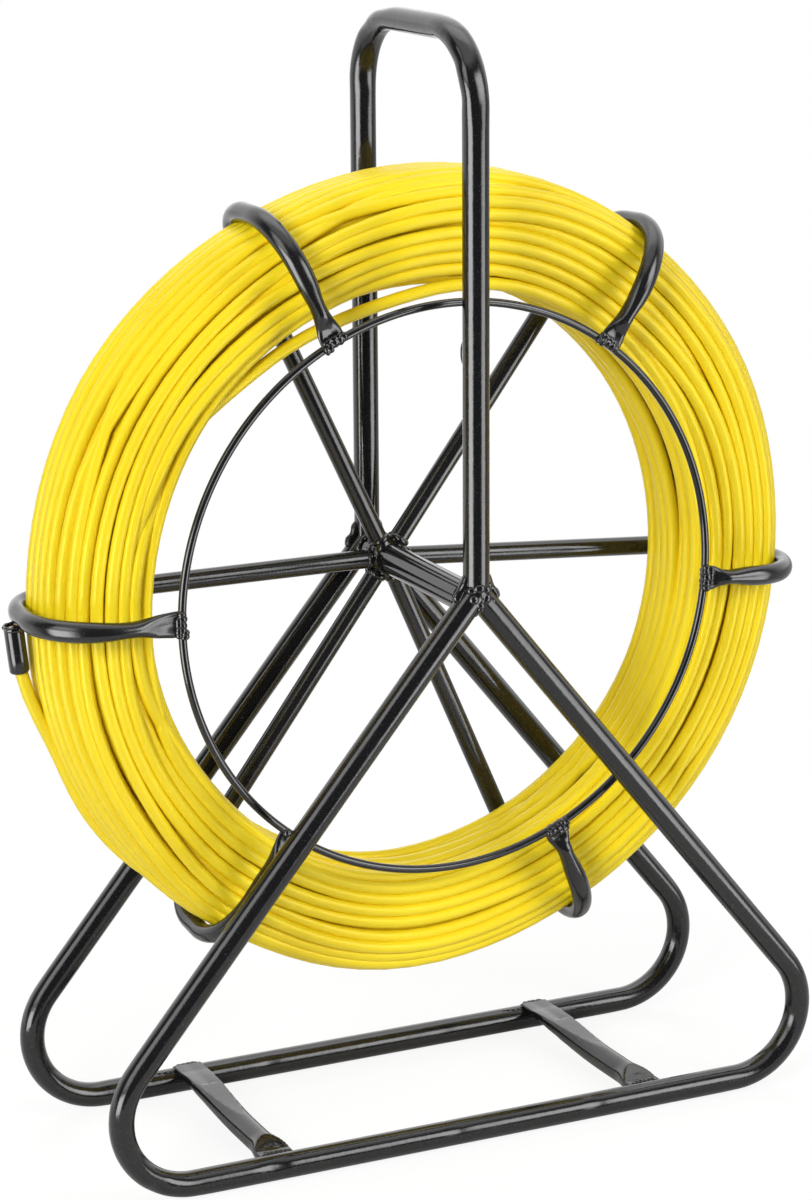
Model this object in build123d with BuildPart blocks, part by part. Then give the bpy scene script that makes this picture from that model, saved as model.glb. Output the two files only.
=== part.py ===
"""Fish tape reel: a bent-tube stand whose axle carries a wheel of six hooked arms,
which hold a coil of yellow glass-fibre rod.

Millimetres. +Z is up, the axle lies along Y and the front of the reel is -Y. The origin is
on the floor, under the middle of the stand.
"""
from build123d import *
import os
from math import cos, degrees, pi, radians, sin, sqrt, tan

os.makedirs("parts", exist_ok=True)

# ---- driving dimensions ----------------------------------------------------------------

# Stand: half-inch steel tube
tube_d = 12.7
tube_wall = 1.2
frame_gap = 122.0  # between the front and back leg loops, centre to centre
foot_half = 226.0  # from the middle of a foot bar to the corner that its bend rounds off
foot_bend = 36.0
axle_height = 275.0
apex_rise = 5.0  # the two legs of a loop meet this far above the axle
handle_rise = 268.0  # from the axle to the middle of the grip
handle_bend = 35.0
butt_gap = 0.4  # left between the two ends of a leg loop

# Welds where the legs, the handle and the axle meet
hub_bead_r = 9.5
hub_bead_length = 9.0  # along the axle, from the middle of the legs
hub_cap_r = 7.5  # the lump of weld over the apex, outside the tubes
hub_cap = 1.3  # that it stands proud of them
web_height = 18.0  # up the handle leg from the apex
web_width = 19.0
web_thick = 5.0

# Cross bars between the foot bars, pressed flat at both ends: the front end butts against the
# front bar and the back end laps onto the back bar
cross_bar_ends = ((-104.0, -102.7), (99.5, 96.6))  # x at the front and x at the back
cross_lift = 2.5  # above the middle of the foot bars
cross_flat_half = 9.0
cross_flat_thick = 3.0
cross_flat_length = 8.0
cross_taper = 20.0
cross_rise = (0.5, 4.0)  # of the pressed front and back ends, above the bar's own middle
cross_bead_r = 2.2
cross_bead_inset = 1.6  # from each edge of the pressed end

# Wire loop on the handle that the rod's end is tied to
keeper_wire = 3.5
keeper_height = 118.0  # above the axle
keeper_length = 16.0
keeper_reach = 9.0  # clear of the handle leg
keeper_bend = 4.0

# Wheel
axle_clearance = 0.08  # radial, between the axle and the sleeve
sleeve_wall = 1.3
sleeve_end_play = 1.0
arm_d = 9.5
arm_wall = 1.0
arm_y = 38.0  # the spokes lie this far behind the middle of the axle
arm_reach = 201.5  # from the axle to the middle of the tube at the crown of a hook
arm_back_bend = 26.0
arm_front_bend = 34.0
arm_straight = 0.5  # between the front bend and the start of the pressed taper
arm_angles = (-4.0, 53.6, 115.6, 180.0, 233.6, 294.0)  # about the axle, from +X towards +Z
guide_arm = 3  # the arm, counted from 0, that the guide tube hangs under
arm_flat_half = 6.6
arm_flat_thick = 3.0
arm_flat_length = 8.0
pinch_slit = 0.6  # left open between the two walls of a pressed end
hook_return = 61.5  # from the crown of a hook in to the ring that its end is welded to
ring_wire = 4.0
ring_y = -36.0
ring_bead = 1.2  # thickness of the weld around the ring wire
ring_bead_half = 8.0  # along the ring
spoke_weld_r = 12.5
spoke_weld_lip = 1.0  # past the arms on both sides
spoke_weld_round = 0.8

# Coil of rod
rod_d = 6.35
coil_clearance = 0.3
coil_back_gap = 3.25  # between the coil and the spokes behind it
coil_thick = 51.5
coil_depth = 50.45  # from the coil's outside to its hole
coil_hole_drop = 3.0  # the hole sits low, because the turns hang on the upper hooks
coil_hole_round = 10.0

# Guide tube on the left arm, and the rod's end in it
guide_d = 9.6
guide_bore = 7.8
guide_length = 25.0
guide_y = 14.0
guide_past = 3.0  # from the crown of the hook out to the middle of the guide
guide_tilt = 6.5
guide_bite = 1.5  # the top of the guide is notched over the arm this deep
guide_bead = 1.0
guide_bead_length = 3.0
ferrule_clearance = 0.2
ferrule_length = 14.0
ferrule_socket = 10.0
stud_d = 5.0
stud_length = 6.0
stud_gap = 1.0  # between the stud and the arm

# The rod's last stretch, from inside the coil to the guide: angle about the axle, distance
# past the coil's outside and place along the axle
tail_route = (
    (229.8, -4.95, 6.0),
    (222.8, 0.05, 7.5),
    (215.5, 2.95, 9.0),
    (208.2, 4.15, 10.5),
    (200.8, 4.85, 12.0),
)
tail_lead = 14.0  # below the guide, where the rod comes into line with it

# ---- worked out from the dimensions above ------------------------------------------------

tube_r = tube_d / 2
frame_y = frame_gap / 2
foot_z = tube_r
apex_z = axle_height + apex_rise
handle_z = axle_height + handle_rise
leg_lean = foot_half / (apex_z - foot_z)

cross_z = foot_z + cross_lift
cross_flat_start = frame_y - tube_r - cross_flat_length
cross_round_end = cross_flat_start - cross_taper

sleeve_bore_r = tube_r + axle_clearance
sleeve_r = sleeve_bore_r + sleeve_wall
sleeve_half = frame_y - hub_bead_length - sleeve_end_play

arm_r = arm_d / 2
ring_r = ring_wire / 2
ring_radius = arm_reach - hook_return
arm_flat_start = ring_radius + ring_r + arm_flat_length
arm_round_end = arm_reach - arm_front_bend - arm_straight

coil_r = arm_reach - arm_r - coil_clearance
coil_hole_r = coil_r - coil_depth
coil_back = arm_y - arm_r - coil_back_gap
coil_front = coil_back - coil_thick
coil_back_round = coil_back - (arm_y - arm_back_bend)
coil_front_round = (ring_y + arm_front_bend) - coil_front

rod_r = rod_d / 2
guide_r = arm_reach + guide_past
ferrule_r = guide_bore / 2 - ferrule_clearance
stud_top = guide_length - guide_bite - stud_gap
ferrule_top = stud_top - stud_length
ferrule_bottom = ferrule_top - ferrule_length


def polar(angle, radius, y):
    """A point at an angle and a distance from the axle's line."""
    a = radians(angle)
    return Vector(radius * cos(a), y, axle_height + radius * sin(a))


def radial_plane(angle):
    """A plane through the axle: its x runs outwards at the angle, its y runs along the axle."""
    a = radians(angle)
    return Plane(origin=(0, 0, axle_height), x_dir=(cos(a), 0, sin(a)), z_dir=(-sin(a), 0, cos(a)))


def guide_plane(along):
    """A plane across the guide tube, this far up from its lower end."""
    tilt = radians(guide_tilt)
    up = Vector(-sin(tilt), 0, cos(tilt))
    middle_drop = arm_r - guide_bite + guide_length / 2
    middle_x = -sqrt(guide_r**2 - middle_drop**2)
    middle = Vector(middle_x, guide_y, axle_height - middle_drop)
    return Plane(origin=middle + up * (along - guide_length / 2), x_dir=(0, 1, 0), z_dir=up)


# ---- stand ---------------------------------------------------------------------------------


def leg_loop(y, radius):
    """A loop of rod: two legs that meet above the axle, and the foot bar that joins them."""
    over = tube_d
    with BuildPart() as loop:
        with BuildLine(Plane.XZ.offset(-y)) as half:
            FilletPolyline(
                (over * leg_lean, apex_z + over),
                (-foot_half, foot_z),
                (0, foot_z),
                radius=foot_bend,
            )
        with BuildSketch(Plane(half.line @ 0, z_dir=half.line % 0)):
            Circle(radius)
        sweep(path=half.line)
        split(bisect_by=Plane.YZ, keep=Keep.BOTTOM)
        mirror(about=Plane.YZ)
    return loop.part


def handle_rod(radius):
    """The hoop over the wheel, from the front apex up, across and down to the back apex."""
    with BuildPart() as hoop:
        with BuildLine(Plane.YZ) as path:
            FilletPolyline(
                (-frame_y, apex_z),
                (-frame_y, handle_z),
                (frame_y, handle_z),
                (frame_y, apex_z),
                radius=handle_bend,
            )
        with BuildSketch(Plane(path.line @ 0, z_dir=path.line % 0)):
            Circle(radius)
        sweep(path=path.line)
    return hoop.part


def across_bar(front_x, back_x, along, rise):
    """A plane across a cross bar, this far back along it from its middle."""
    run = Vector(back_x - front_x, frame_gap, 0)
    middle = Vector((front_x + back_x) / 2, 0, cross_z + rise)
    return Plane(origin=middle + run.normalized() * along, x_dir=(run.Y, -run.X, 0), z_dir=run)


def cross_rod(front_x, back_x, radius, flat_half, flat_thick):
    """A bar between the foot bars: round in the middle and pressed to an oval at both ends."""
    front_rise, back_rise = cross_rise
    with BuildPart() as bar:
        with BuildSketch(across_bar(front_x, back_x, -cross_round_end, 0)):
            Circle(radius)
        extrude(amount=2 * cross_round_end)
        for side, rise in ((-1, front_rise), (1, back_rise)):
            with BuildSketch(across_bar(front_x, back_x, side * cross_round_end, 0)):
                Circle(radius)
            with BuildSketch(across_bar(front_x, back_x, side * cross_flat_start, rise)) as pressed:
                Ellipse(flat_half, flat_thick / 2)
            loft()
            extrude(pressed.sketch, amount=side * (frame_y - cross_flat_start))
    return bar.part


tube_bore_r = tube_r - tube_wall
front_legs_outside = leg_loop(-frame_y, tube_r)
back_legs_outside = leg_loop(frame_y, tube_r)
handle_outside = handle_rod(tube_r)

for side, name, outside in ((-1, "front", front_legs_outside), (1, "back", back_legs_outside)):
    with BuildPart() as legs:
        add(outside)
        add(leg_loop(side * frame_y, tube_bore_r), mode=Mode.SUBTRACT)
        with Locations((0, side * frame_y, apex_z)):
            Box(butt_gap, 2 * tube_d, 2 * tube_d, mode=Mode.SUBTRACT)
    legs.part.label = f"{name}_leg_loop"
    export_step(legs.part, f"parts/{name}_leg_loop.step")

with BuildPart() as handle_hoop:
    add(handle_outside)
    add(handle_rod(tube_bore_r), mode=Mode.SUBTRACT)
    add(front_legs_outside, mode=Mode.SUBTRACT)
    add(back_legs_outside, mode=Mode.SUBTRACT)
handle_hoop.part.label = "handle_hoop"
export_step(handle_hoop.part, "parts/handle_hoop.step")

with BuildPart() as axle_tube:
    with BuildSketch(Plane.XZ.offset(-frame_y)):
        with Locations((0, axle_height)):
            Circle(tube_r)
            Circle(tube_bore_r, mode=Mode.SUBTRACT)
    extrude(amount=frame_gap)
    add(front_legs_outside, mode=Mode.SUBTRACT)
    add(back_legs_outside, mode=Mode.SUBTRACT)
    add(handle_outside, mode=Mode.SUBTRACT)
axle_tube.part.label = "axle_tube"
export_step(axle_tube.part, "parts/axle_tube.step")

# A lump of weld around each end of the axle, and a web in each corner between handle and leg
for side, name, outside in ((-1, "front", front_legs_outside), (1, "back", back_legs_outside)):
    with BuildPart() as hub_weld:
        with BuildSketch(Plane.XZ.offset(-side * frame_y)):
            with Locations((0, axle_height)):
                Circle(hub_bead_r)
        extrude(amount=side * hub_bead_length)
        with BuildSketch(Plane.XZ.offset(-side * frame_y)):
            with Locations((0, apex_z)):
                Circle(hub_cap_r)
        extrude(amount=-side * (tube_r + hub_cap))
        with BuildSketch(Plane.XZ.offset(-side * frame_y)):
            with BuildLine():
                Polyline((0, apex_z + web_height), (-web_width, apex_z - web_width), (0, apex_z))
                mirror(about=Plane.YZ)
            make_face()
        extrude(amount=web_thick / 2, both=True)
        with BuildSketch(Plane.XZ.offset(-side * frame_y)):
            with Locations((0, axle_height)):
                Circle(tube_r)
        extrude(amount=side * frame_y, mode=Mode.SUBTRACT)
        add(outside, mode=Mode.SUBTRACT)
        add(handle_outside, mode=Mode.SUBTRACT)
    hub_weld.part.label = f"{name}_hub_weld"
    export_step(hub_weld.part, f"parts/{name}_hub_weld.step")
    print(name, "hub weld", [round(s.volume, 1) for s in hub_weld.part.solids()])

cross_bars_outside = []
for name, (front_x, back_x) in zip(("left", "right"), cross_bar_ends):
    cross_outside = cross_rod(front_x, back_x, tube_r, cross_flat_half, cross_flat_thick)
    cross_bars_outside.append(cross_outside)
    with BuildPart() as cross_bar:
        add(cross_outside)
        add(
            cross_rod(front_x, back_x, tube_bore_r, cross_flat_half - tube_wall, pinch_slit),
            mode=Mode.SUBTRACT,
        )
        add(front_legs_outside, mode=Mode.SUBTRACT)
        add(back_legs_outside, mode=Mode.SUBTRACT)
    cross_bar.part.label = f"cross_bar_{name}"
    export_step(cross_bar.part, f"parts/cross_bar_{name}.step")

# A bead across each pressed end: in the corner over the end that butts, and on top of the foot
# bar at the end that laps
with BuildPart() as cross_bar_welds:
    for ends in cross_bar_ends:
        for side, x, rise in zip((-1, 1), ends, cross_rise):
            bead_z = min(cross_z + rise + cross_flat_thick / 2, foot_z + tube_r)
            bead_y = frame_y - sqrt(tube_r**2 - (bead_z - foot_z) ** 2)
            with Locations((x, side * bead_y, bead_z)):
                Cylinder(cross_bead_r, 2 * (cross_flat_half - cross_bead_inset), rotation=(0, 90, 0))
    for outside in (front_legs_outside, back_legs_outside, *cross_bars_outside):
        add(outside, mode=Mode.SUBTRACT)
cross_bar_welds.part.label = "cross_bar_welds"
export_step(cross_bar_welds.part, "parts/cross_bar_welds.step")

with BuildPart() as keeper_loop:
    keeper_y = -frame_y + tube_r + keeper_reach - keeper_wire / 2
    keeper_low = axle_height + keeper_height - (keeper_length - keeper_wire) / 2
    keeper_high = axle_height + keeper_height + (keeper_length - keeper_wire) / 2
    with BuildLine(Plane.YZ) as keeper_path:
        FilletPolyline(
            (-frame_y, keeper_low),
            (keeper_y, keeper_low),
            (keeper_y, keeper_high),
            (-frame_y, keeper_high),
            radius=keeper_bend,
        )
    with BuildSketch(Plane(keeper_path.line @ 0, z_dir=keeper_path.line % 0)):
        Circle(keeper_wire / 2)
    sweep(path=keeper_path.line)
    add(handle_outside, mode=Mode.SUBTRACT)
keeper_loop.part.label = "keeper_loop"
export_step(keeper_loop.part, "parts/keeper_loop.step")

# ---- wheel ---------------------------------------------------------------------------------


def hook_rod(angle, radius, flat_half, flat_thick):
    """A spoke that runs out behind the coil, hooks over it and comes back to the ring."""
    plane = radial_plane(angle)

    def across(along):
        return Plane(
            origin=plane.from_local_coords((along, ring_y, 0)),
            x_dir=plane.z_dir,
            z_dir=-plane.x_dir,
        )

    with BuildPart() as hook:
        with BuildLine(plane) as path:
            FilletPolyline(
                (0, arm_y),
                (arm_reach, arm_y),
                (arm_reach, ring_y),
                (arm_round_end, ring_y),
                radius=[arm_back_bend, arm_front_bend],
            )
        with BuildSketch(Plane(path.line @ 0, z_dir=path.line % 0)):
            Circle(radius)
        sweep(path=path.line)
        with BuildSketch(across(arm_round_end)):
            Circle(radius)
        with BuildSketch(across(arm_flat_start)) as pressed:
            Ellipse(flat_half, flat_thick / 2)
        loft()
        extrude(pressed.sketch, amount=arm_flat_start - ring_radius)
    return hook.part


with BuildPart() as hub_sleeve:
    with BuildSketch(Plane.XZ.offset(-sleeve_half)):
        with Locations((0, axle_height)):
            Circle(sleeve_r)
            Circle(sleeve_bore_r, mode=Mode.SUBTRACT)
    extrude(amount=2 * sleeve_half)
hub_sleeve.part.label = "hub_sleeve"
export_step(hub_sleeve.part, "parts/hub_sleeve.step")

spoke_weld_half = arm_r + spoke_weld_lip
with BuildPart() as spoke_weld:
    with BuildSketch(Plane.XZ.offset(-arm_y - spoke_weld_half)):
        with Locations((0, axle_height)):
            Circle(spoke_weld_r)
    extrude(amount=2 * spoke_weld_half)
    spoke_weld_outside = spoke_weld.part
    fillet(spoke_weld.edges(), radius=spoke_weld_round)
    with Locations((0, arm_y, axle_height)):
        Cylinder(sleeve_r, 4 * spoke_weld_half, rotation=(90, 0, 0), mode=Mode.SUBTRACT)
spoke_weld.part.label = "spoke_weld"
export_step(spoke_weld.part, "parts/spoke_weld.step")

with BuildPart() as front_ring:
    with Locations((0, ring_y, axle_height)):
        Torus(ring_radius, ring_r, rotation=(90, 0, 0))
front_ring.part.label = "front_ring"
export_step(front_ring.part, "parts/front_ring.step")

arms_outside = []
for number, angle in enumerate(arm_angles, start=1):
    arm_outside = hook_rod(angle, arm_r, arm_flat_half, arm_flat_thick)
    arms_outside.append(arm_outside)
    with BuildPart() as hook_arm:
        add(arm_outside)
        add(
            hook_rod(angle, arm_r - arm_wall, arm_flat_half - arm_wall, pinch_slit),
            mode=Mode.SUBTRACT,
        )
        add(spoke_weld_outside, mode=Mode.SUBTRACT)
        add(front_ring.part, mode=Mode.SUBTRACT)
    hook_arm.part.label = f"hook_arm_{number}"
    export_step(hook_arm.part, f"parts/hook_arm_{number}.step")
    print("hook arm", number, len(hook_arm.part.solids()), round(hook_arm.part.volume))

# A thick skin of weld around the ring wire at each pressed end
with BuildPart() as ring_welds:
    bead_angle = degrees(2 * ring_bead_half / ring_radius)
    axle_line = Axis((0, 0, axle_height), (0, -1, 0))
    for angle in arm_angles:
        start = radial_plane(angle - bead_angle / 2)
        with BuildSketch(start):
            with Locations((ring_radius, ring_y)):
                Circle(ring_r + ring_bead)
                Circle(ring_r, mode=Mode.SUBTRACT)
        revolve(axis=axle_line, revolution_arc=bead_angle)
    for arm_outside in arms_outside:
        add(arm_outside, mode=Mode.SUBTRACT)
ring_welds.part.label = "ring_welds"
export_step(ring_welds.part, "parts/ring_welds.step")

# ---- guide tube, coil and rod end ----------------------------------------------------------

with BuildPart() as guide_tube:
    with BuildSketch(guide_plane(0)):
        Circle(guide_d / 2)
        Circle(guide_bore / 2, mode=Mode.SUBTRACT)
    extrude(amount=guide_length)
    add(arms_outside[guide_arm], mode=Mode.SUBTRACT)
guide_tube.part.label = "guide_tube"
export_step(guide_tube.part, "parts/guide_tube.step")

with BuildPart() as guide_weld:
    with BuildSketch(guide_plane(guide_length - guide_bead_length)):
        Circle(guide_d / 2 + guide_bead)
        Circle(guide_d / 2, mode=Mode.SUBTRACT)
    extrude(amount=guide_bead_length)
    add(arms_outside[guide_arm], mode=Mode.SUBTRACT)
guide_weld.part.label = "guide_weld"
export_step(guide_weld.part, "parts/guide_weld.step")

with BuildPart() as rod_coil:
    with BuildSketch(Plane.XZ.offset(-coil_front)):
        with Locations((0, axle_height)):
            Circle(coil_r)
    extrude(amount=-coil_thick)
    fillet(rod_coil.faces().sort_by(Axis.Y)[0].edges(), radius=coil_front_round)
    fillet(rod_coil.faces().sort_by(Axis.Y)[-1].edges(), radius=coil_back_round)
    with BuildSketch(Plane.XZ.offset(-coil_front)):
        with Locations((0, axle_height - coil_hole_drop)):
            Circle(coil_hole_r)
    extrude(amount=-coil_thick, mode=Mode.SUBTRACT)
    hole_edges = rod_coil.edges().filter_by(GeomType.CIRCLE)
    hole_edges = hole_edges.filter_by(lambda edge: abs(edge.radius - coil_hole_r) < 0.001)
    fillet(hole_edges, radius=coil_hole_round)
rod_coil.part.label = "rod_coil"
export_step(rod_coil.part, "parts/rod_coil.step")

tail_points = [polar(angle, coil_r + past, y) for angle, past, y in tail_route]
tail_points.append(guide_plane(-tail_lead).origin)
tail_points.append(guide_plane(ferrule_bottom + ferrule_socket).origin)
tail_runs = [b - a for a, b in zip(tail_points, tail_points[1:])]
tail_radii = []
for before, after in zip(tail_runs, tail_runs[1:]):
    half_turn = radians(before.get_angle(after)) / 2
    tail_radii.append(0.45 * min(before.length, after.length) / tan(half_turn))
with BuildPart() as rod_tail:
    with BuildLine() as tail_path:
        FilletPolyline(*tail_points, radius=tail_radii)
    with BuildSketch(Plane(tail_path.line @ 0, z_dir=tail_path.line % 0)):
        Circle(rod_r)
    sweep(path=tail_path.line)
rod_tail.part.label = "rod_tail"
export_step(rod_tail.part, "parts/rod_tail.step")
print("rod tail runs", [round(run.length, 1) for run in tail_runs])
print("rod tail radii", [round(radius, 1) for radius in tail_radii])
swept = pi * rod_r**2 * sum(edge.length for edge in tail_path.edges())
print("rod tail volume", round(rod_tail.part.volume, 1), "of", round(swept, 1))

with BuildPart() as rod_tip:
    with BuildSketch(guide_plane(ferrule_bottom)):
        Circle(ferrule_r)
    extrude(amount=ferrule_length)
    with BuildSketch(guide_plane(ferrule_bottom)):
        Circle(rod_r)
    extrude(amount=ferrule_socket, mode=Mode.SUBTRACT)
    with BuildSketch(guide_plane(ferrule_top)):
        Circle(stud_d / 2)
    extrude(amount=stud_length)
rod_tip.part.label = "rod_tip"
export_step(rod_tip.part, "parts/rod_tip.step")
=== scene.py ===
"""Looks for the fish tape reel: painted tube, wire and weld, and the coil of yellow rod.

Lengths are millimetres, as in the part's own drawing, and MM turns them into metres where a mesh
or a curve is made. Finishes, the floor, lamps and the camera are in metres. +Z is up, the axle lies
along Y and the front is -Y. Angles about the axle are degrees from +X towards +Z.
"""
import bpy
import numpy as np
from math import cos, pi, radians, sin, sqrt, tan
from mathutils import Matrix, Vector


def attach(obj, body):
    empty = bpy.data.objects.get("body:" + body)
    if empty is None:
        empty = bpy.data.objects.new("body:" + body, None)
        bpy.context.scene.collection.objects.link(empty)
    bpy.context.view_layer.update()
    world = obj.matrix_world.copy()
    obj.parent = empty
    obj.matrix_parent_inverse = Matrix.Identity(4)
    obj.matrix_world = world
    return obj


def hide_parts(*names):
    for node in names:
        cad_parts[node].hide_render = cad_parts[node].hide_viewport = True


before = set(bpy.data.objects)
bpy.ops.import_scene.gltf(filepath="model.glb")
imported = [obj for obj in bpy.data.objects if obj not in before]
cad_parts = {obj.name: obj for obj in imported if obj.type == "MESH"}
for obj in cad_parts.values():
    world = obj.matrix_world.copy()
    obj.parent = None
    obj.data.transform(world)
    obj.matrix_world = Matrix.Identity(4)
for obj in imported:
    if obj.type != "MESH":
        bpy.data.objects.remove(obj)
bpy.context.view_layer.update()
MM = 0.001
chance = np.random.default_rng(41)

# ---- sizes of the reel ---------------------------------------------------------------------

TUBE_R = 6.35
FRAME_Y = 61.0
FOOT_HALF = 226.0
FOOT_BEND = 36.0
AXLE_Z = 275.0
APEX_Z = 280.0
HANDLE_Z = 543.0
HANDLE_BEND = 35.0
GRIP_FALL = 1.5
HANDLE_LEAN = 0.0055  # to the left, of its height above HANDLE_LEAN_FROM
HANDLE_LEAN_FROM = 290.0
CROSS_BAR_ENDS = ((-104.0, -102.7), (99.5, 96.6))  # front and back, of the left and the right bar
CROSS_Z = 8.85
CROSS_RISE = (0.5, 4.0)  # at the front and at the back
KEEPER_R = 1.75
KEEPER_Z = 393.0
KEEPER_LENGTH = 16.0
KEEPER_REACH = 9.0
KEEPER_BEND = 5.5
SLEEVE_R = 7.73
SLEEVE_HALF = 51.0
ARM_R = 4.75
ARM_Y = 38.0
ARM_REACH = 201.5
ARM_BACK_BEND = 26.0
ARM_FRONT_BEND = 34.0
ARM_ANGLES = (-4.0, 53.6, 115.6, 180.0, 233.6, 294.0)
ARM_SETS = (  # turned at the crown and at the ring, longer, from the ring to the neck
    (0, 0, 0, 15),
    (0.5, 0.4, 2.2, 18),
    (-0.2, 0.4, 0, 19),
    (0, 0, 1.4, 27),
    (0.5, -0.8, 2.5, 18),
    (0, 0, 0, 16),
)
ARM_FLAT_HALF = 6.4
ARM_FLAT_THICK = 3.0
RING_RADIUS = 140.0
RING_R = 2.0
RING_Y = -36.0
SPOKE_WELD_R = 12.5
SPOKE_WELD_HALF = 5.75
ROD_R = 3.175
COIL_R = 196.45
COIL_BACK = 30.25
COIL_FRONT = -21.25
COIL_WIDE = COIL_BACK - COIL_FRONT
COIL_ROUNDS = (14.0, 12.0, 10.0, 8.0)  # front outer, back outer, front inner, back inner
HOLE_R = 146.0
HOLE_DROP = 3.0
GUIDE_R = 4.8
GUIDE_BORE_R = 3.9
GUIDE_LENGTH = 25.0
GUIDE_Y = 14.0
GUIDE_REACH = 204.5
GUIDE_TILT = 6.5
GUIDE_BITE = 1.5
FERRULE_R = 3.7
FERRULE_LENGTH = 14.0
FERRULE_SOCKET = 10.0
STUD_R = 2.5
STUD_LENGTH = 6.0
STUD_GAP = 1.0

# Where the coil departs from a plain ring: angle, half span and height of each hump
BULGES = (
    (30, 22, 2.6), (70, 18, 4.4), (93, 10, 1.2), (148, 16, 1.6),
    (192, 8, 2.0), (208, 12, 3.0), (228, 10, 3.2), (262, 18, 4.8),
)
HOLE_BULGES = ((222, 24, 3.0), (112, 34, -2.3), (288, 20, 2.0))
BACK_BULGES = ((16, 42, 5.6), (325, 40, 3.6))
WORN_AT = 160.0  # over the top and the left, the coil's front edge is rounder by up to COIL_WORN
WORN_SPAN = 72.0
COIL_WORN = 24.0
WORN_LESS = ((233, 14, -7.0),)

# ---- surfaces ------------------------------------------------------------------------------

ARC_POINTS = 6  # at least, in a bend
ARC_FINER = 1.5  # a bend's points are this much closer than a straight run's
WAVES = 9
BEAD_LOW = 0.86
BEAD_SWELL = 0.18
BEAD_END = 0.05
BEAD_ROUGH = 0.13
BEAD_LUMP = 5.0
BALL_RINGS = 26
BALL_SIDES = 36
BALL_POLE = 0.06  # radians from a pole to the first ring


def unit(vectors):
    """Vectors divided by their lengths."""
    vectors = np.asarray(vectors, float)
    return vectors / np.linalg.norm(vectors, axis=-1, keepdims=True)


def smooth_step(x):
    """0 up to 0, 1 from 1 on, and x x (3 - 2 x) between."""
    x = np.clip(x, 0, 1)
    return x * x * (3 - 2 * x)


def bent_line(corners, bends, step):
    """Points about one step apart along straight runs whose corners are rounded.

    A corner where the line turns by t, with a bend of radius r, is an arc that starts and ends
    r tan(t / 2) from it: start + u r sin(a) + n r (1 - cos(a)) for a from 0 to t, with u the
    direction in and n the direction across it towards the run out.
    """
    corners = np.asarray(corners, float)
    start = corners[0]
    pieces = []
    for before, corner, after, bend in zip(corners, corners[1:], corners[2:], bends):
        u, v = unit(corner - before), unit(after - corner)
        turn = np.arccos(np.clip(u @ v, -1, 1))
        arc_start = corner - u * bend * tan(turn / 2)
        count = max(2, int(np.linalg.norm(arc_start - start) / step))
        pieces.append(start + (arc_start - start) * np.linspace(0, 1, count, endpoint=False)[:, None])
        n = unit(v - u * (u @ v))
        a = np.linspace(0, turn, max(ARC_POINTS, int(bend * turn / step * ARC_FINER)))[:, None]
        pieces.append((arc_start + u * bend * np.sin(a) + n * bend * (1 - np.cos(a)))[:-1])
        start = arc_start + u * bend * sin(turn) + n * bend * (1 - cos(turn))
    count = max(2, int(np.linalg.norm(corners[-1] - start) / step))
    pieces.append(start + (corners[-1] - start) * np.linspace(0, 1, count)[:, None])
    return np.concatenate(pieces)


def curve_through(points, count):
    """Points on a smooth curve: a Bernstein sum over the given control points."""
    points = np.asarray(points, float)
    t = np.linspace(0, 1, count)[:, None]
    last = len(points) - 1
    binomial = np.array([1.0])
    for n in range(last):
        binomial = np.append(binomial, binomial[-1] * (last - n) / (n + 1))
    return sum(b * t**n * (1 - t) ** (last - n) * p for n, (b, p) in enumerate(zip(binomial, points)))


def along(line):
    """Distance along a line of points, from its first one."""
    return np.concatenate(([0], np.cumsum(np.linalg.norm(np.diff(line, axis=0), axis=1))))


def round_section(radius, count):
    """A circle's (side, up) offsets for each radius of a row: radius cos(a), radius sin(a)."""
    a = np.linspace(0, 2 * pi, count, endpoint=False)
    radius = np.asarray(radius, float)[:, None]
    return np.stack([radius * np.cos(a), radius * np.sin(a)], axis=-1)


def carry(line, side, section, heading=None):
    """A section carried along a line: point + S side + U up, where S is square to the line's
    heading and nearest to the given side, and U = heading x S."""
    if heading is None:
        heading = unit(np.gradient(line, axis=0))
    side = np.broadcast_to(np.asarray(side, float), line.shape)
    s = unit(side - heading * np.sum(side * heading, axis=1, keepdims=True))
    u = np.cross(heading, s)
    return line[:, None] + section[..., :1] * s[:, None] + section[..., 1:] * u[:, None]


def skin(rings, loop=False):
    """Vertices and faces of rows of points: quads between neighbouring rows, closed round each
    row, and a fan of triangles on the middle of the first and the last row unless they loop."""
    rows, count = rings.shape[:2]
    points = rings.reshape(-1, 3)
    i = np.arange(rows if loop else rows - 1)[:, None] * count
    j = np.arange(count)[None]
    k = (j + 1) % count
    next_i = (i + count) % (rows * count)
    quads = np.stack([i + j, i + k, next_i + k, next_i + j], axis=-1).reshape(-1, 4)
    faces = quads.tolist()
    if not loop:
        ends = np.stack([rings[0].mean(0), rings[-1].mean(0)])
        points = np.concatenate([points, ends])
        j, k = j[0], k[0]
        last_row = (rows - 1) * count
        first, last = rows * count, rows * count + 1
        faces += np.stack([k, j, np.full(count, first)], axis=-1).tolist()
        faces += np.stack([last_row + j, last_row + k, np.full(count, last)], axis=-1).tolist()
    return points, faces


def outward(points, faces):
    """The same faces, turned over if the volume that they enclose comes out negative: the sum of
    a . (b x c) over the triangles."""
    triangles = np.array([[f[0], f[n], f[n + 1]] for f in faces for n in range(1, len(f) - 1)])
    a, b, c = (points[triangles[:, n]] for n in range(3))
    volume = np.sum(a * np.cross(b, c))
    return faces if volume > 0 else [f[::-1] for f in faces]


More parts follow.
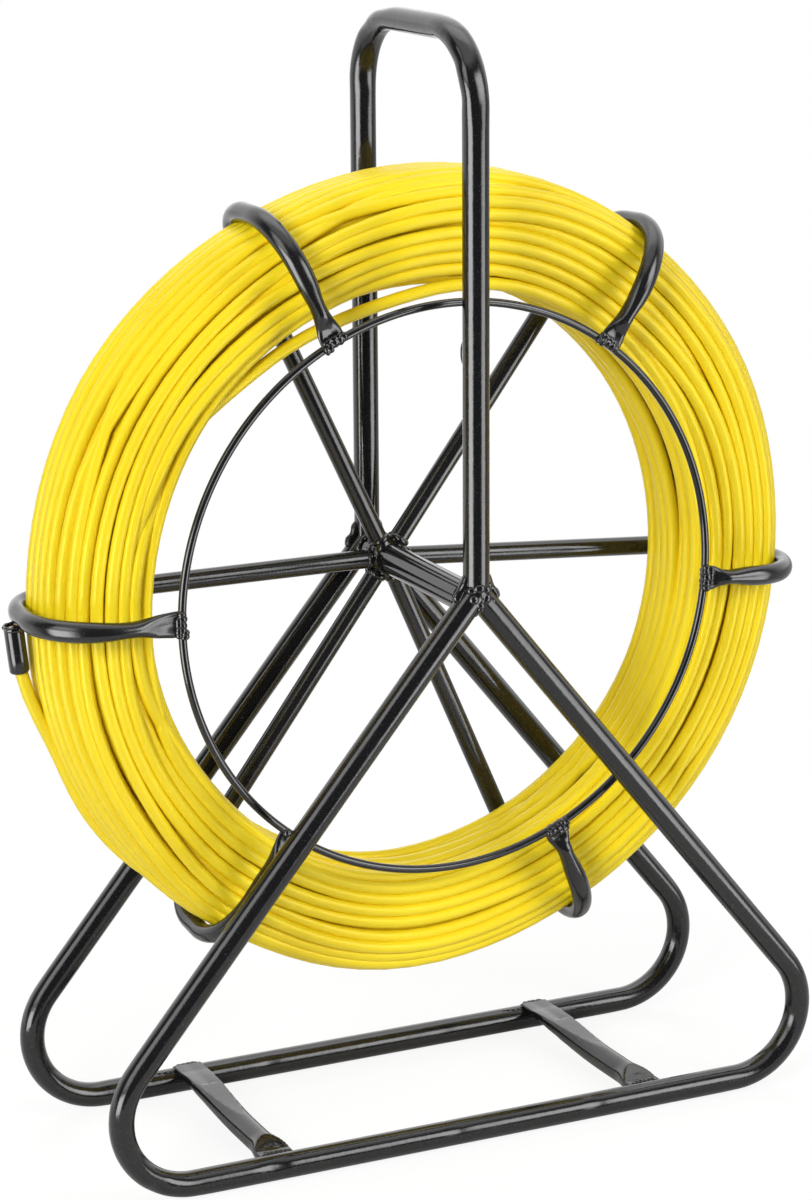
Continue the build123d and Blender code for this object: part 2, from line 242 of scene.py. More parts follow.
def piece(name, skins, finish, body, replaces, crease=40.0):
    """One mesh from several closed skins, placed in metres, with its finish and body; the CAD parts that it
    replaces are hidden.
    """
    points, faces = [], []
    total = 0
    for part_points, part_faces in skins:
        faces += [[n + total for n in face] for face in outward(part_points, part_faces)]
        points.append(part_points)
        total += len(part_points)
    mesh = bpy.data.meshes.new(name)
    mesh.from_pydata(np.concatenate(points) * MM, [], faces)
    mesh.shade_smooth()
    mesh.set_sharp_from_angle(angle=radians(crease))
    made = bpy.data.objects.new(name, mesh)
    bpy.context.scene.collection.objects.link(made)
    made.data.materials.append(finish)
    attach(made, body)
    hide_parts(*replaces)
    return made


def lumps(points, size, seed):
    """A smooth uneven field between about -1 and 1: the sum of sines of the place along random
    directions, at wavelengths near the given size, over half their number."""
    pick = np.random.default_rng(seed)
    total = 0
    for _ in range(WAVES):
        wave = unit(pick.normal(size=3)) * 2 * pi / (size * pick.uniform(0.7, 1.5))
        total = total + np.sin(points @ wave + pick.uniform(0, 2 * pi))
    return total / (WAVES / 2)


def weld_bead(line, side, radius, ripple, seed, count=18):
    """A bead of weld: a round section whose radius swells once per ripple, radius (BEAD_LOW +
    BEAD_SWELL |sin(pi s / ripple)|), shrinks by the root of 1 - (2 s / length - 1)^6 towards its
    ends, and is uneven all over."""
    s = along(line)
    length = s[-1]
    ends = np.sqrt(np.clip(1 - (2 * s / length - 1) ** 6, 0, 1))
    swell = BEAD_LOW + BEAD_SWELL * np.abs(np.sin(pi * s / ripple))
    section = round_section(radius * swell * np.maximum(ends, BEAD_END), count)
    rings = carry(line, side, section)
    rings = rings + (rings - line[:, None]) * BEAD_ROUGH * lumps(rings, BEAD_LUMP, seed)[..., None]
    return skin(rings)


def weld_ball(middle, radii, seed, size, rough=0.14):
    """A blob of weld: an ellipsoid of the given half sizes, swollen by an uneven field."""
    t = np.linspace(BALL_POLE, pi - BALL_POLE, BALL_RINGS)[:, None]
    p = np.linspace(0, 2 * pi, BALL_SIDES, endpoint=False)[None]
    ball = np.stack([np.sin(t) * np.cos(p), np.sin(t) * np.sin(p), np.cos(t) + 0 * p], axis=-1)
    rings = np.asarray(middle) + ball * np.asarray(radii)
    rings = rings + ball * (np.mean(radii) * rough * lumps(rings, size, seed))[..., None]
    return skin(rings)


# ---- finishes ------------------------------------------------------------------------------

PEEL_DEEP = 6.0  # the orange peel's and the grain's depth, as shares of the enamel's own
GRAIN_DEEP = 0.5


def finish(name, colour, roughness, specular=0.5):
    """A new material with its uniform values on the shader's own sockets."""
    material = bpy.data.materials.new(name)
    material.use_nodes = True
    shader = material.node_tree.nodes["Principled BSDF"]
    shader.inputs["Base Color"].default_value = (*colour, 1)
    shader.inputs["Roughness"].default_value = roughness
    shader.inputs["Specular IOR Level"].default_value = specular
    return material, material.node_tree, shader


def noise(tree, scale, detail):
    """Noise on the piece's own coordinates, in metres, with this many lumps to the metre."""
    where = tree.nodes.new("ShaderNodeTexCoord")
    texture = tree.nodes.new("ShaderNodeTexNoise")
    texture.inputs["Scale"].default_value = scale
    texture.inputs["Detail"].default_value = detail
    tree.links.new(where.outputs["Object"], texture.inputs["Vector"])
    return texture.outputs["Fac"]


def ramp(tree, source, low, high, from_low=0.3, from_high=0.7):
    """A value that goes from low to high as the source goes between two levels."""
    node = tree.nodes.new("ShaderNodeMapRange")
    node.inputs["From Min"].default_value = from_low
    node.inputs["From Max"].default_value = from_high
    node.inputs["To Min"].default_value = low
    node.inputs["To Max"].default_value = high
    tree.links.new(source, node.inputs["Value"])
    return node.outputs["Result"]


def worked_out(tree, kind, *values):
    """One sum or function of numbers or of other nodes' values."""
    node = tree.nodes.new("ShaderNodeMath")
    node.operation = kind
    for socket, value in zip(node.inputs, values):
        if isinstance(value, (int, float)):
            socket.default_value = value
        else:
            tree.links.new(value, socket)
    return node.outputs["Value"]


def blend_colours(tree, source, first, second):
    """A colour that goes from the first to the second as the source goes from 0 to 1."""
    node = tree.nodes.new("ShaderNodeMix")
    node.data_type = "RGBA"
    node.inputs["A"].default_value = (*first, 1)
    node.inputs["B"].default_value = (*second, 1)
    tree.links.new(source, node.inputs["Factor"])
    return node.outputs["Result"]


def bump(tree, shader, height, distance):
    """A bump of this height in metres, laid over any bump that the shader has already."""
    node = tree.nodes.new("ShaderNodeBump")
    node.inputs["Strength"].default_value = 1.0
    node.inputs["Distance"].default_value = distance
    tree.links.new(height, node.inputs["Height"])
    if shader.inputs["Normal"].links:
        tree.links.new(shader.inputs["Normal"].links[0].from_socket, node.inputs["Normal"])
    tree.links.new(node.outputs["Normal"], shader.inputs["Normal"])


def gloss_black(name, colour, smooth, worn, peel):
    """Black stoving enamel: a soft orange peel, gloss that comes and goes, and fine dust."""
    material, tree, shader = finish(name, colour, smooth)
    patches = noise(tree, 55.0, 4.0)
    tree.links.new(ramp(tree, patches, smooth, worn, 0.42, 0.66), shader.inputs["Roughness"])
    dust = ramp(tree, noise(tree, 900.0, 5.0), 0.0, 1.0, 0.62, 0.72)
    dusty = tuple(3.0 * c + 0.01 for c in colour)
    tree.links.new(blend_colours(tree, dust, colour, dusty), shader.inputs["Base Color"])
    bump(tree, shader, noise(tree, 260.0, 2.0), peel * PEEL_DEEP)
    bump(tree, shader, noise(tree, 1400.0, 3.0), peel * GRAIN_DEEP)
    return material


stand_paint = gloss_black("stand_enamel", (0.008, 0.008, 0.009), 0.11, 0.20, 0.000012)
wheel_paint = gloss_black("wheel_enamel", (0.010, 0.0102, 0.0108), 0.13, 0.24, 0.000008)
sleeve_paint = gloss_black("sleeve_enamel", (0.010, 0.010, 0.0105), 0.06, 0.12, 0.000006)
wire_paint = gloss_black("wire_enamel", (0.008, 0.008, 0.009), 0.10, 0.18, 0.000008)
weld_paint = gloss_black("weld_enamel", (0.007, 0.007, 0.008), 0.06, 0.12, 0.00001)

# The rod's yellow cover: a slow change of shade, a gloss that varies, and two sizes of grain
rod_cover, tree, shader = finish("rod_cover", (0.89, 0.69, 0.014), 0.36, 0.45)
shade = ramp(tree, noise(tree, 14.0, 3.0), 0.0, 1.0, 0.35, 0.65)
yellows = blend_colours(tree, shade, (0.91, 0.71, 0.016), (0.86, 0.65, 0.011))
tree.links.new(yellows, shader.inputs["Base Color"])
tree.links.new(ramp(tree, noise(tree, 300.0, 4.0), 0.34, 0.46), shader.inputs["Roughness"])
bump(tree, shader, noise(tree, 700.0, 4.0), 0.00003)
bump(tree, shader, noise(tree, 3200.0, 2.0), 0.000008)

brass, tree, shader = finish("ferrule_brass", (0.80, 0.58, 0.26), 0.25)
shader.inputs["Metallic"].default_value = 1.0
tree.links.new(ramp(tree, noise(tree, 900.0, 4.0), 0.18, 0.36), shader.inputs["Roughness"])
bump(tree, shader, noise(tree, 2500.0, 2.0), 0.00001)

# ---- the rod: one cord from its tip in the guide to its inner end --------------------------

TURNS_IN_LAYER = (4, 7, 8, 8, 8, 8, 6, 5)  # from the outside of the coil in
FULL_LAYER = 8  # turns that fill the coil's width
OUTER_LAYER = (-1.0, 12.0)  # along the axle, where the outermost turns lie
SMALLER_LAYER_IN = 3.0  # from each side of the coil, for layers of fewer turns
STATIONS = 30  # places round the reel where a turn's position is worked out
CROSSING_AT = 0.84  # of a turn, where the outer layer's turns move over to their next place
CROSSING_EARLIER = 0.095  # with each layer in
CROSSING_UNEVEN = 0.02
CROSSING_LONG = 0.26
WANDER_IN_DEPTH = (7, 2.6)  # reach in stations, size
WANDER_ALONG_AXLE = (8, 3.4)
WANDER_INWARD = (9, 1.2)
RELAXING_STEPS = 300
PUSH_APART = 0.42  # of the overlap, each step
SPREAD = 0.009  # share of its distance from the coil's middle that a turn is eased out each step
SPREAD_INWARD = 0.3  # of that, for the inner half
EVENING = 0.07  # how strongly a point is drawn to its neighbours along the rod, each step
GAPS = (  # between turns on the coil's front: depth in the coil, angle, half span, opening
    (33, 124, 18, 2.25), (17, 99, 15, 1.5), (27, 100, 14, 1.8), (29, 170, 20, 2.25),
    (20, 205, 16, 1.95), (43, 166, 24, 1.95), (38, 22, 24, 1.95), (22, 42, 20, 1.5),
    (30, 338, 20, 1.8), (24, 268, 20, 1.8), (38, 300, 18, 1.5), (16, 150, 16, 1.2),
    (34, 235, 18, 1.65),
)
GAP_EDGE = 1.5  # the depth over which the turns part, and the depth that they are moved over
GAP_REACH = 9.0
GAP_BACK = 14.0  # the reach over which a gap closes from the coil's front towards its back
LOOSE_TURN = 48  # one turn hangs free of the coil, over the axle
LOOSE_ANGLE = 105.0
LOOSE_DROP = 9.5
LOOSE_SPANS = (20.0, 31.0)  # degrees, before and after that angle
START = 229.8  # the angle, radius and place along the axle where the tail becomes the first turn
START_RADIUS = 191.5
START_Y = 12.0
START_STATIONS = 6  # over which the first turn comes free of that place
TAIL_BELOW = 7.0
TAIL_SPOTS = (  # angle, radius and place along the axle, on the way from the guide to the coil
    (200.2, 198.3, 12.6), (208.2, 199.8, 12.4), (215.5, 199.4, 12.2), (222.8, 197.2, 12.1),
)
GUIDE_UP = np.array([-sin(radians(GUIDE_TILT)), 0, cos(radians(GUIDE_TILT))])


def guide_point(distance):
    """A point on the guide tube's line, this far up from its lower end."""
    drop = ARM_R - GUIDE_BITE + GUIDE_LENGTH / 2
    middle = np.array([-sqrt(GUIDE_REACH**2 - drop**2), GUIDE_Y, AXLE_Z - drop])
    return middle + GUIDE_UP * (distance - GUIDE_LENGTH / 2)


def about_axle(angle, radius, y):
    """Points at angles in degrees, at distances from the axle's line and places along it."""
    a = np.radians(angle)
    return np.stack([radius * np.cos(a), y + 0 * a, AXLE_Z + radius * np.sin(a)], axis=-1)


def angle_from(angle, middle):
    """How far an angle lies past another, from -180 to 180 degrees."""
    return (angle - middle + 180) % 360 - 180


def bumps(angle, humps):
    """The sum of smooth humps round the reel, height exp(-(angle away / half span)^2)."""
    total = 0 * np.asarray(angle, float)
    for middle, span, height in humps:
        total = total + height * np.exp(-((angle_from(angle, middle) / span) ** 2))
    return total


def slow_wander(count, reach, size):
    """Uneven values that change slowly: random numbers averaged over a bell of this reach, and
    scaled to spread by the given size."""
    bell = np.exp(-np.linspace(-2.5, 2.5, int(5 * reach)) ** 2)
    values = np.convolve(chance.normal(size=count + len(bell)), bell, "same")[:count]
    return size * (values - values.mean()) / values.std()


def coil_places():
    """Where each turn would lie in an even winding: its depth below the coil's outside as a share
    of the coil's depth, and its place along the axle. Layers are wound to and fro."""
    shares, places = [], []
    for layer, turns in enumerate(TURNS_IN_LAYER):
        share = layer / (len(TURNS_IN_LAYER) - 1)
        low, high = COIL_FRONT + ROD_R, COIL_BACK - ROD_R
        if layer == 0:
            low, high = OUTER_LAYER
        elif turns < FULL_LAYER:
            low, high = low + SMALLER_LAYER_IN, high - SMALLER_LAYER_IN
        across = np.linspace(low, high, turns)
        shares.append(np.full(turns, share))
        places.append(across[::-1] if layer % 2 == 0 else across)
    return np.concatenate(shares), np.concatenate(places)


def keep_inside(depth, y, room, angle):
    """Depths and places moved back inside the coil's outline, a rod's radius in from it: a box
    with rounded corners, in which a point past a corner's centre comes back to its arc. The outer
    front corner is rounder over the top and the left of the reel."""
    worn = COIL_WORN * np.exp(-((angle_from(angle, WORN_AT) / WORN_SPAN) ** 4))
    worn = worn + bumps(angle, WORN_LESS)
    low_y, high_y = COIL_FRONT + ROD_R, COIL_BACK - ROD_R
    depth = np.clip(depth, ROD_R, room - ROD_R)
    y = np.clip(y, low_y, high_y)
    for corner, bend in enumerate(COIL_ROUNDS):
        front, outer = corner % 2 == 0, corner < 2
        if corner == 0:
            bend = bend + worn
        centre_y = COIL_FRONT + bend if front else COIL_BACK - bend
        centre_depth = bend if outer else room - bend
        away_y = centre_y - y if front else y - centre_y
        away_depth = centre_depth - depth if outer else depth - centre_depth
        reach = np.hypot(np.maximum(away_y, 0), np.maximum(away_depth, 0))
        share = np.minimum(1, (bend - ROD_R) / np.maximum(reach, 1e-6))
        pull = np.where((away_y > 0) & (away_depth > 0), share, 1)
        y = centre_y + (y - centre_y) * pull
        depth = centre_depth + (depth - centre_depth) * pull
    return depth, y


def pushed_apart(depth, y, turns):
    """Depths and places after one step in which any two turns that overlap at a station of the
    reel are each moved straight away from the other, by PUSH_APART of their overlap."""
    d, p = depth.reshape(turns, STATIONS), y.reshape(turns, STATIONS)
    gap_d = d[:, None] - d[None]
    gap_y = p[:, None] - p[None]
    apart = np.hypot(gap_d, gap_y) + 1e-6
    push = np.clip(2 * ROD_R - apart, 0, None) / apart * PUSH_APART
    push[np.arange(turns), np.arange(turns)] = 0
    return depth + (push * gap_d).sum(1).reshape(-1), y + (push * gap_y).sum(1).reshape(-1)


def wind_coil():
    """Points along the wound rod, from the tail in.

    A turn keeps its place and moves over to the next one as it comes round, by a smooth step that
    the turns of a layer share. Slow uneven shifts are added, and then the turns that cross one
    station of the reel are pushed apart until they no longer overlap, eased away from the coil's
    middle so that they fill its outline, evened out along the rod and kept inside. Last, gaps are
    opened on the front, and one turn is let hang free.
    """
    share, place = coil_places()
    turns = len(place)
    layer = np.repeat(np.arange(len(TURNS_IN_LAYER)), TURNS_IN_LAYER)
    t = np.arange(turns * STATIONS) / STATIONS
    turn = t.astype(int)
    following = np.minimum(turn + 1, turns - 1)
    middle = CROSSING_AT - CROSSING_EARLIER * layer[turn] + CROSSING_UNEVEN * np.sin(7.0 * layer[turn])
    step = smooth_step((t - turn - middle) / CROSSING_LONG + 0.5)
    angle = START + 360 * t
    outer = COIL_R + bumps(angle, BULGES)

    def room_at(y):
        """The coil's depth, from its outside to its hole, more at its back by BACK_BULGES."""
        hole = HOLE_R - HOLE_DROP * np.sin(np.radians(angle)) - bumps(angle, HOLE_BULGES)
        return outer - hole + bumps(angle, BACK_BULGES) * np.clip((y - COIL_FRONT) / COIL_WIDE, 0, 1)

    room = room_at(0 * t)
    deep = share[turn] + (share[following] - share[turn]) * step
    depth = ROD_R + deep * (room - 2 * ROD_R)
    y = place[turn] + (place[following] - place[turn]) * step
    depth = depth + slow_wander(len(t), *WANDER_IN_DEPTH)
    y = y + slow_wander(len(t), *WANDER_ALONG_AXLE)
    free = np.clip(t * STATIONS / START_STATIONS, 0, 1)
    start_depth = outer[0] - START_RADIUS
    middle_y = (COIL_FRONT + COIL_BACK) / 2
    for _ in range(RELAXING_STEPS):
        room = room_at(y)
        depth = depth + SPREAD * (depth - room / 2) * np.where(depth < room / 2, 1.0, SPREAD_INWARD)
        y = y + SPREAD * (y - middle_y)
        depth, y = pushed_apart(depth, y, turns)
        for values in (depth, y):
            values[1:-1] += EVENING * (values[:-2] + values[2:] - 2 * values[1:-1])
        depth, y = keep_inside(depth, y, room, angle)
        depth = start_depth + (depth - start_depth) * free
        y = START_Y + (y - START_Y) * free
    for gap_depth, gap_angle, span, opening in GAPS:
        near = np.exp(-((angle_from(angle, gap_angle) / span) ** 4))
        near = near * np.exp(-(((y - COIL_FRONT) / GAP_BACK) ** 2))
        away = depth - gap_depth
        depth = depth + opening * near * np.tanh(away / GAP_EDGE) * np.exp(-np.abs(away) / GAP_REACH)
    y = y + free * np.abs(slow_wander(len(t), *WANDER_INWARD)) * np.sign(middle_y - y)
    from_loosest = (t - LOOSE_TURN) * 360 - (LOOSE_ANGLE - START) % 360
    loose_span = np.where(from_loosest < 0, *LOOSE_SPANS)
    depth = depth + LOOSE_DROP * np.exp(-((from_loosest / loose_span) ** 2))
    radius = (outer - depth) / cos(pi / STATIONS)
    return about_axle(angle, radius, y)


ferrule_bottom = GUIDE_LENGTH - GUIDE_BITE - STUD_GAP - STUD_LENGTH - FERRULE_LENGTH
tail = [guide_point(ferrule_bottom + FERRULE_SOCKET), guide_point(-TAIL_BELOW)]
tail += [about_axle(*spot) for spot in TAIL_SPOTS]
rod_line = np.concatenate([tail, wind_coil()])
rod_curve = bpy.data.curves.new("rod", "CURVE")
rod_curve.dimensions = "3D"
rod_curve.bevel_depth = ROD_R * MM
rod_curve.bevel_resolution = 3
rod_curve.resolution_u = 3
rod_curve.use_fill_caps = True
spline = rod_curve.splines.new("NURBS")
spline.points.add(len(rod_line) - 1)
spline.points.foreach_set("co", np.column_stack([rod_line * MM, np.ones(len(rod_line))]).ravel())
spline.order_u = 3
spline.use_endpoint_u = True
rod = bpy.data.objects.new("rod", rod_curve)
bpy.context.scene.collection.objects.link(rod)
rod.data.materials.append(rod_cover)
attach(rod, "wheel")
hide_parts("rod_coil", "rod_tail")

# ---- stand -----------------------------------------------------------------------------------

LEG_STEP = 2.6  # between sections
LEG_SIDES = 32
LEG_FLATTER = 0.07
LEG_OVERLAP = 0.2
HANDLE_STEP = 2.4
HANDLE_SIDES = 40
HANDLE_FLATTER = 0.16
GRIP_HALF = 40.0
GRIP_THINNER = 0.08
GRIP_WIDER = 0.04
BEND_OUTER = -pi / 2  # the side of a section that lies outside in its bends
BEND_BELL = 0.75
BEND_REACH = 7.0
BEND_WIDER = 0.35
BEND_THINNER = 0.25
FRONT_DENTS = (  # place, reach, depth
    ((-171, -67, 9), 4, 0.8), ((-166, -66, 11), 3, 0.5), ((-112, -66.5, 9), 4, 0.7),
    ((-106, -66, 10), 3, 0.6), ((-12, -66, 10), 5, 0.5), ((66, -66.5, 9.5), 5, 0.6),
)
BACK_DENTS = (((-60, 55, 9), 5, 0.35), ((40, 55.5, 9), 6, 0.3))
HANDLE_DENTS = (
    ((-5.5, -53, 531), 4.5, 0.7), ((-6, -60, 514), 5, 0.5), ((-5.5, 47, 538), 5, 0.7),
    ((-4, 30, 546), 4, 0.4), ((-5.5, 57, 505), 5, 0.5),
)


def turning(line, reach):
    """How strongly a line turns near each of its points, from 0 on straight runs to 1 in bends,
    averaged over this reach."""
    heading = unit(np.gradient(line, axis=0))
    s = along(line)
    turn = np.linalg.norm(np.gradient(heading, axis=0), axis=1) / np.maximum(np.gradient(s), 1e-6)
    weight = np.exp(-(((s[:, None] - s[None]) / reach) ** 2)) * np.gradient(s)[None]
    smooth = (weight * turn[None]).sum(1) / weight.sum(1)
    return smooth / smooth.max()


def bent_section(line, flatten, count):
    """The stand tube's section with its bends drawn flatter: TUBE_R (1 - flatten b g(a)), where b
    is how much the line turns and g is a bell about the bend's outer side. In a bend it is also
    wider across by BEND_WIDER flatten b and thinner by BEND_THINNER flatten b."""
    a = np.linspace(0, 2 * pi, count, endpoint=False)[None]
    bend = turning(line, BEND_REACH)[:, None]
    off = np.angle(np.exp(1j * (a - BEND_OUTER)))
    polar_radius = TUBE_R * (1 - flatten * bend * np.exp(-((off / BEND_BELL) ** 2)))
    return np.stack([
        polar_radius * np.cos(a) * (1 + BEND_WIDER * flatten * bend),
        polar_radius * np.sin(a) * (1 - BEND_THINNER * flatten * bend),
    ], axis=-1)


def dent(rings, line, spots):
    """Rings pressed in towards their line near each spot, by depth exp(-(away / reach)^2)."""
    for place, reach, depth in spots:
        away = np.linalg.norm(rings - np.asarray(place), axis=2, keepdims=True)
        inward = unit(line[:, None] - rings)
        rings = rings + inward * depth * np.exp(-((away / reach) ** 2))
    return rings


def leg_loop(side, spots):
    """Two legs and the foot bar between them as one bent tube. Each end is slid along its leg
    until it lies just past the plane where the two legs meet."""
    y = side * FRAME_Y
    corners = [(0, y, APEX_Z), (-FOOT_HALF, y, TUBE_R), (FOOT_HALF, y, TUBE_R), (0, y, APEX_Z)]
    line = bent_line(corners, [FOOT_BEND, FOOT_BEND], LEG_STEP)
    rings = carry(line, (0, 1, 0), bent_section(line, LEG_FLATTER, LEG_SIDES))
    for end, step in ((0, 1), (-1, -1)):
        run = unit(line[end + step] - line[end])
        rings[end] += run * ((-LEG_OVERLAP * step - rings[end][:, :1]) / run[0])
    return skin(dent(rings, line, spots))


def handle():
    """The hoop over the wheel, a little higher in front and leaning a little to the left. Its
    bends are flattened outside, and its grip is pressed a little flat on top and below."""
    corners = [
        (0, -FRAME_Y, APEX_Z), (0, -FRAME_Y, HANDLE_Z),
        (0, FRAME_Y, HANDLE_Z - GRIP_FALL), (0, FRAME_Y, APEX_Z),
    ]
    line = bent_line(corners, [HANDLE_BEND, HANDLE_BEND], HANDLE_STEP)
    line[:, 0] -= HANDLE_LEAN * np.maximum(line[:, 2] - HANDLE_LEAN_FROM, 0)
    section = bent_section(line, HANDLE_FLATTER, HANDLE_SIDES)
    grip = np.exp(-((line[:, 1] / GRIP_HALF) ** 6)) * (line[:, 2] > HANDLE_Z - 2 * GRIP_FALL)
    section[..., 1] *= (1 - GRIP_THINNER * grip)[:, None]
    section[..., 0] *= (1 + GRIP_WIDER * grip)[:, None]
    return skin(dent(carry(line, (1, 0, 0), section), line, HANDLE_DENTS))


piece("front_legs", [leg_loop(-1, FRONT_DENTS)], stand_paint, "stand", ["front_leg_loop"])
piece("back_legs", [leg_loop(1, BACK_DENTS)], stand_paint, "stand", ["back_leg_loop"])
piece("handle", [handle()], stand_paint, "stand", ["handle_hoop"])
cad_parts["axle_tube"].data.materials.clear()
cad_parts["axle_tube"].data.materials.append(stand_paint)

HUB_WEB = ((4.6, 9.5), (6.0, 4.0), (7.6, 1.0), (11.5, -4.0))  # out and up from the legs' corner
HUB_ROUND = (-82, -46, -8, 32, 70)  # degrees about the foot of the handle
HUB_ROUND_SIZES = (2.5, 3.1)
HUB_LUMPS = (  # across, up from the legs' corner, size
    (-3.6, -2.4, 2.7), (3.0, -2.6, 3.0), (6.6, -4.6, 2.2), (-0.2, -5.6, 2.3),
)
HUB_OUT = TUBE_R + 0.2  # how far from the tube's line a lump with no size would lie
HUB_SUNK = 0.55  # of its size
HUB_ROUND_SUNK = 0.5
HUB_FALL = 0.03  # the tube's side falls away by this times the square of the distance across
HUB_ROUGH = 0.07
HUB_CORE = (5.4, 4.2, 4.6)
FILLET_R = 2.5
FILLET_RIPPLE = 9.0
SEAM_ENDS = (1.0, -9.4)
SEAM_IN = 2.0
SEAM_R = 2.2
SEAM_RIPPLE = 3.4
COLLAR_IN = 5.8
COLLAR_RADIUS = 7.0
COLLAR_BEAD_R = 2.1
COLLAR_RIPPLE = 3.7


def hub_weld(side, seed):
    """The weld where handle, legs and axle meet: a fillet in each corner between handle and leg,
    a ring of lumps round the foot of the handle, lumps and a seam down between the legs, and a
    collar round the axle. Each lump is sunk by about half its size into the tube."""
    y = side * FRAME_Y
    pick = np.random.default_rng(seed)
    skins = []
    for x in (-1, 1):
        web = curve_through([(x * out, y, APEX_Z + up) for out, up in HUB_WEB], 40)
        skins.append(weld_bead(web, (0, 1, 0), FILLET_R, FILLET_RIPPLE, seed + x + 1, 22))
    for place in np.radians(HUB_ROUND):
        size = pick.uniform(*HUB_ROUND_SIZES)
        reach = HUB_OUT - HUB_ROUND_SUNK * size
        up = 3.0 + pick.uniform(-1.2, 1.2)
        spot = (reach * sin(place), y + side * reach * cos(place), APEX_Z + up)
        radii = (size * 1.1, size * 0.85, size * 0.9)
        skins.append(weld_ball(spot, radii, int(pick.integers(1000)), 5.0, HUB_ROUGH))
    for x, up, size in HUB_LUMPS:
        out = HUB_OUT - HUB_SUNK * size - HUB_FALL * x * x
        spot = (x, y + side * out, APEX_Z + up)
        radii = (size, size * 0.8, size)
        skins.append(weld_ball(spot, radii, int(pick.integers(1000)), 5.0, HUB_ROUGH))
    seam_y = y + side * (TUBE_R - SEAM_IN)
    seam = np.array([(0, seam_y, APEX_Z + z) for z in np.linspace(*SEAM_ENDS, 26)])
    skins.append(weld_bead(seam, (1, 0, 0), SEAM_R, SEAM_RIPPLE, seed + 13))
    skins.append(weld_ball((0, y, APEX_Z - 5.5), HUB_CORE, seed + 15, 6.0, 0.06))
    turn = np.linspace(0, 2 * pi, 60)[:, None]
    circle = np.cos(turn) * np.array([1, 0, 0]) + np.sin(turn) * np.array([0, 0, 1])
    collar = np.array([0, y - side * COLLAR_IN, AXLE_Z]) + COLLAR_RADIUS * circle
    skins.append(weld_bead(collar, (0, 1, 0), COLLAR_BEAD_R, COLLAR_RIPPLE, seed + 16))
    return skins


piece("front_hub_bead", hub_weld(-1, 3), weld_paint, "stand", ["front_hub_weld"])
piece("back_hub_bead", hub_weld(1, 60), weld_paint, "stand", ["back_hub_weld"])

BAR_FRONT_IN = 1.2  # how far the bar's front end reaches into its foot bar
BAR_BACK_SHORT = 0.5
BAR_PINCHES = ((5.5, 0.55, 16, 1.0), (10.0, 0.075, 66, 0.4))  # front, back: flat, steep, taper, wide
BAR_PINCH_HALF = 1.5
BAR_WIDE_HALF = 9.0
BAR_HOLLOW = 0.15
BAR_HOLLOW_WIDE = 0.4
BAR_FRONT_SEAM = (1.9, 2.3)  # radius, ripple
BAR_BACK_SEAM = (1.6, 2.6)
BAR_THIN_SEAM = (1.0, 3.0)
BAR_LUMP = (1.9, 1.5, 1.2)


def cross_bar(front_x, back_x):
    """A bar between the foot bars, its ends pinched flat between two slanting faces: near an end
    the section reaches up and down only as far as BAR_PINCH_HALF + steep (d - flat), d being the
    distance to the end, and spreads sideways and rises by a smooth step over the taper. The back
    end lies on top of its foot bar. Pinched faces are a little hollow."""
    front = np.array([front_x, -FRAME_Y + TUBE_R - BAR_FRONT_IN, CROSS_Z])
    back = np.array([back_x, FRAME_Y - BAR_BACK_SHORT, CROSS_Z])
    t = np.linspace(0, 1, 150)
    line = front + (back - front) * t[:, None]
    reach = np.linalg.norm(back - front)
    spread, thick = 0, TUBE_R
    for away, rise, (flat, steep, taper, wide) in zip((t, 1 - t), CROSS_RISE, BAR_PINCHES):
        distance = away * reach
        step = smooth_step((flat + taper - distance) / taper)
        line = line + np.array([0, 0, 1]) * (rise * step)[:, None]
        spread = spread + wide * step
        thick = np.minimum(thick, BAR_PINCH_HALF + steep * np.maximum(distance - flat, 0))
    a = np.linspace(0, 2 * pi, 40, endpoint=False)[None]
    half_wide = (TUBE_R + (BAR_WIDE_HALF - TUBE_R) * spread)[:, None]
    thick = thick[:, None]
    hollow = BAR_HOLLOW * (thick < 2 * BAR_PINCH_HALF) * np.exp(-((np.cos(a) / BAR_HOLLOW_WIDE) ** 2))
    up = np.clip(TUBE_R * np.sin(a), -thick, thick) * (1 - hollow)
    return skin(carry(line, (1, 0, 0), np.stack([half_wide * np.cos(a), up], axis=-1)))


def bar_beads(front_x, back_x, number):
    """The welds of one cross bar: a seam with three lumps where its front end meets the front foot
    bar, and a seam round its back end with a thin one beside it."""
    top = CROSS_Z + CROSS_RISE[0] + BAR_PINCH_HALF
    y = -FRAME_Y + sqrt(TUBE_R**2 - (top - TUBE_R) ** 2)
    run = curve_through([
        (front_x - 8.2, y + 0.4, top - 0.6), (front_x, y + 0.9, top + 0.3),
        (front_x + 8.2, y + 0.4, top - 0.6),
    ], 44)
    beads = [weld_bead(run, (0, 0, 1), *BAR_FRONT_SEAM, 90 + 2 * number)]
    for x in (-5, 0.5, 5.5):
        spot = (front_x + x, y + 1.6, top)
        beads.append(weld_ball(spot, BAR_LUMP, 95 + 10 * number + int(x), 2.2, 0.22))
    top = CROSS_Z + CROSS_RISE[1]
    run = curve_through([
        (back_x - 8.4, FRAME_Y - 3.5, top - 0.9), (back_x - 7.2, FRAME_Y + 1.0, top - 0.4),
        (back_x - 5, FRAME_Y + 1.6, top - 0.1), (back_x + 6.8, FRAME_Y + 1.2, top - 0.1),
    ], 44)
    beads.append(weld_bead(run, (0, 0, 1), *BAR_BACK_SEAM, 130 + number))
    run = curve_through([
        (back_x - 20, FRAME_Y - 1.4, top - 0.9), (back_x - 7, FRAME_Y - 2.6, top - 0.9),
    ], 30)
    beads.append(weld_bead(run, (0, 0, 1), *BAR_THIN_SEAM, 140 + number))
    return beads


